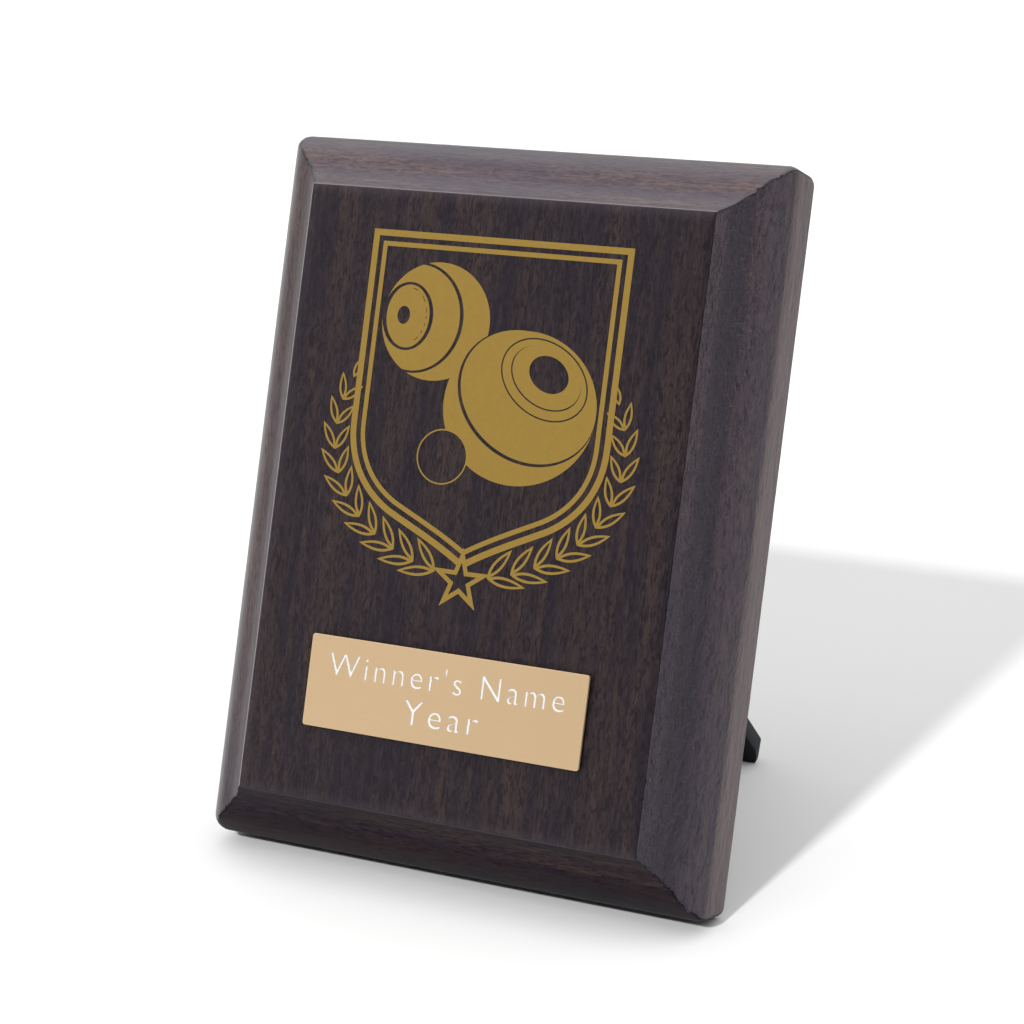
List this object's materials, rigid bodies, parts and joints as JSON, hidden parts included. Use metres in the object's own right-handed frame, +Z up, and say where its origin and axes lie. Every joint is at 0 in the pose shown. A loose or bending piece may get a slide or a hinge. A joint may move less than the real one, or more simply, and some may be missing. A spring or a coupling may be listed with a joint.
{
  "type": "award plaque",
  "caption": "Small moulded award plaque in wood-grain foil, with a blank metal engraving plate on its face and a hinged strut behind it.",
  "frame": {"origin": "on the surface the plaque stands on, below the middle of its bounding box, strut open", "axes": "+X to the right of someone reading the face, +Y from the face back to the strut's foot, +Z up"},
  "size_m": [0.0762, 0.0682, 0.0989],
  "materials": {
    "board_core": "raw medium density fibreboard, under the foil",
    "face_foil": "dark walnut wood-grain foil, satin, grain upright",
    "edge_foil": "dark walnut wood-grain foil, satin, grain along the edge",
    "back_sheet": "black backing paper, matt",
    "adhesive": "double-sided film",
    "engraving_plate": "pale gold anodised plate, fine brushed",
    "gold_print": "hot-stamped gold film, satin",
    "hinge": "nickel-plated pressed steel",
    "fastener": "nickel-plated steel",
    "strut": "hardboard painted black, semi-gloss"
  },
  "bodies": {
    "board": {"board_core": "board_core", "face_laminate": "face_foil", "edge_foil_top": "edge_foil", "edge_foil_bottom": "edge_foil", "edge_foil_left": "edge_foil", "edge_foil_right": "edge_foil", "back_sheet": "back_sheet", "plate_adhesive": "adhesive", "engraving_plate": "engraving_plate", "hinge_board_leaf": "hinge", "hinge_pin": "hinge", "hinge_screw_left": "fastener", "hinge_screw_right": "fastener"},
    "strut": {"hinge_leg_leaf": "hinge", "strut_leg": "strut", "leg_rivet_left": "fastener", "leg_rivet_right": "fastener"}
  },
  "joints": [
    {"name": "strut_hinge", "type": "hinge", "parent": "board", "child": "strut", "pos_m": [0, 0.00712, 0.08497], "axis": [1, 0, 0], "range_deg": [-35, 0]}
  ]
}
